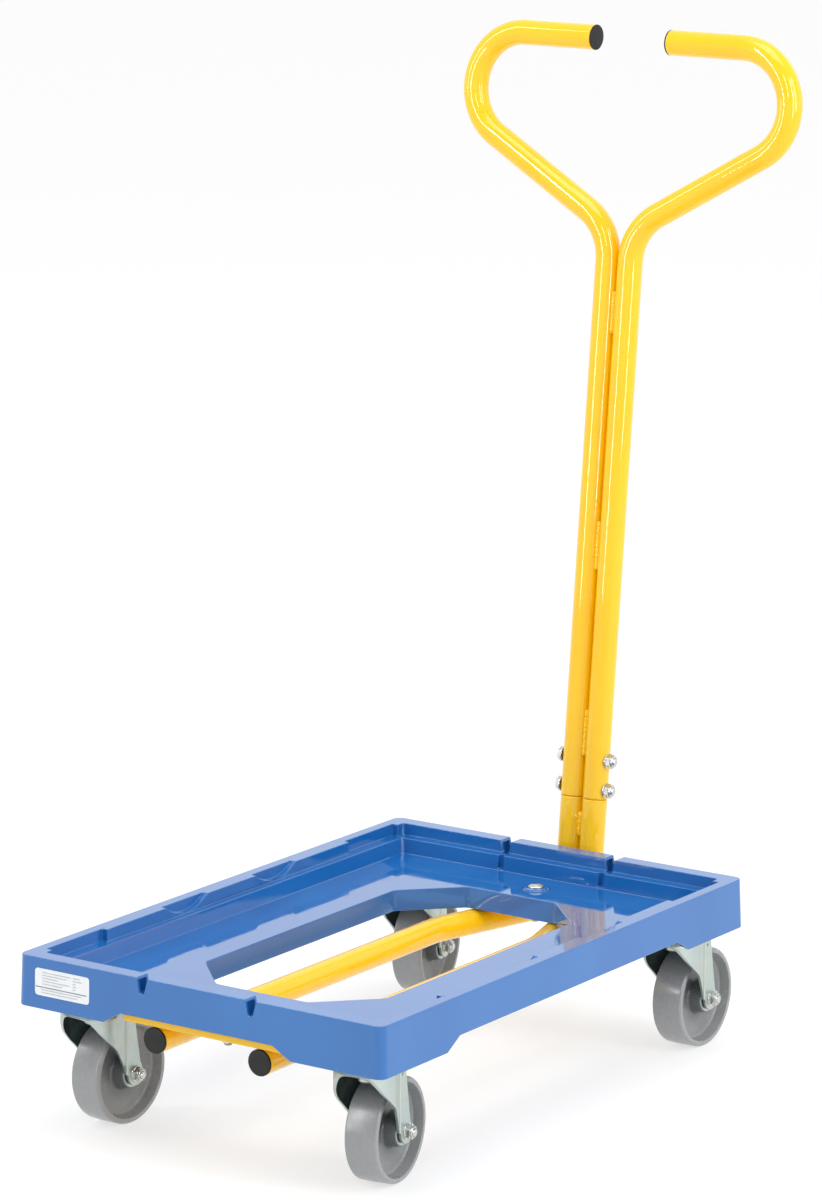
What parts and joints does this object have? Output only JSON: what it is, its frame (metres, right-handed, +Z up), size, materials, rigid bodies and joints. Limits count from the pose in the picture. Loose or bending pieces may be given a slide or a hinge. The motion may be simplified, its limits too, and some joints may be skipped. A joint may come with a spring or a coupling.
{
  "type": "platform cart",
  "caption": "Low tote cart: a rimmed tray with an open middle on bent tube rails, swivel castors, and an upright tube handle that divides into curled grips.",
  "frame": {"origin": "on the ground, under the middle of the whole cart's length and width", "axes": "+Z up, +Y towards the handle, +X to the right seen from the front of the tray"},
  "size_m": [0.4178, 0.7414, 0.9894],
  "materials": {
    "blue_plastic": "glossy moulded blue",
    "yellow_paint": "glossy yellow powder coat",
    "zinc": "bright zinc plate",
    "grey_rubber": "satin moulded grey",
    "black_plastic": "matt moulded black",
    "white_film": "satin white film"
  },
  "bodies": {
    "cart_frame": {"tray": "blue_plastic", "data_label": "white_film", "crossbar_front": "yellow_paint", "crossbar_rear": "yellow_paint", "crossbar_bolt_front": "zinc", "crossbar_bolt_rear": "zinc", "crossbar_nut_front": "zinc", "crossbar_nut_rear": "zinc", "rail_left": "yellow_paint", "rail_right": "yellow_paint", "rail_cap_left": "black_plastic", "rail_cap_right": "black_plastic", "handle_tube_left": "yellow_paint", "handle_tube_right": "yellow_paint", "spigot_left": "zinc", "spigot_right": "zinc", "grip_cap_left": "black_plastic", "grip_cap_right": "black_plastic", "handle_bolt_lower": "zinc", "handle_bolt_upper": "zinc", "handle_nut_lower": "zinc", "handle_nut_upper": "zinc", "castor_plate_fl": "zinc", "bearing_race_fl": "zinc", "kingpin_fl": "zinc", "castor_plate_fr": "zinc", "bearing_race_fr": "zinc", "kingpin_fr": "zinc", "castor_plate_rl": "zinc", "bearing_race_rl": "zinc", "kingpin_rl": "zinc", "castor_plate_rr": "zinc", "bearing_race_rr": "zinc", "kingpin_rr": "zinc"},
    "swivel_fl": {"fork_fl": "zinc", "axle_bolt_fl": "zinc", "axle_nut_fl": "zinc", "axle_bush_fl": "zinc"},
    "swivel_fr": {"fork_fr": "zinc", "axle_bolt_fr": "zinc", "axle_nut_fr": "zinc", "axle_bush_fr": "zinc"},
    "swivel_rl": {"fork_rl": "zinc", "axle_bolt_rl": "zinc", "axle_nut_rl": "zinc", "axle_bush_rl": "zinc"},
    "swivel_rr": {"fork_rr": "zinc", "axle_bolt_rr": "zinc", "axle_nut_rr": "zinc", "axle_bush_rr": "zinc"},
    "wheel_body_fl": {"wheel_fl": "grey_rubber"},
    "wheel_body_fr": {"wheel_fr": "grey_rubber"},
    "wheel_body_rl": {"wheel_rl": "grey_rubber"},
    "wheel_body_rr": {"wheel_rr": "grey_rubber"}
  },
  "joints": [
    {"name": "castor_swivel_fl", "type": "hinge", "parent": "cart_frame", "child": "swivel_fl", "pos_m": [-0.1575, -0.32165, 0.12], "axis": [0, 0, 1], "continuous": true},
    {"name": "castor_swivel_fr", "type": "hinge", "parent": "cart_frame", "child": "swivel_fr", "pos_m": [0.1575, -0.32165, 0.12], "axis": [0, 0, 1], "continuous": true},
    {"name": "castor_swivel_rl", "type": "hinge", "parent": "cart_frame", "child": "swivel_rl", "pos_m": [-0.1575, 0.20035, 0.12], "axis": [0, 0, 1], "continuous": true},
    {"name": "castor_swivel_rr", "type": "hinge", "parent": "cart_frame", "child": "swivel_rr", "pos_m": [0.1575, 0.20035, 0.12], "axis": [0, 0, 1], "continuous": true},
    {"name": "wheel_spin_fl", "type": "hinge", "parent": "swivel_fl", "child": "wheel_body_fl", "pos_m": [-0.15599, -0.28568, 0.05], "axis": [0.9991, -0.0419, 0], "continuous": true},
    {"name": "wheel_spin_fr", "type": "hinge", "parent": "swivel_fr", "child": "wheel_body_fr", "pos_m": [0.15293, -0.28594, 0.05], "axis": [0.9919, 0.1271, 0], "continuous": true},
    {"name": "wheel_spin_rl", "type": "hinge", "parent": "swivel_rl", "child": "wheel_body_rl", "pos_m": [-0.16357, 0.23584, 0.05], "axis": [0.9857, 0.1685, 0], "continuous": true},
    {"name": "wheel_spin_rr", "type": "hinge", "parent": "swivel_rr", "child": "wheel_body_rr", "pos_m": [0.15712, 0.23635, 0.05], "axis": [0.9999, 0.0105, 0], "continuous": true}
  ]
}
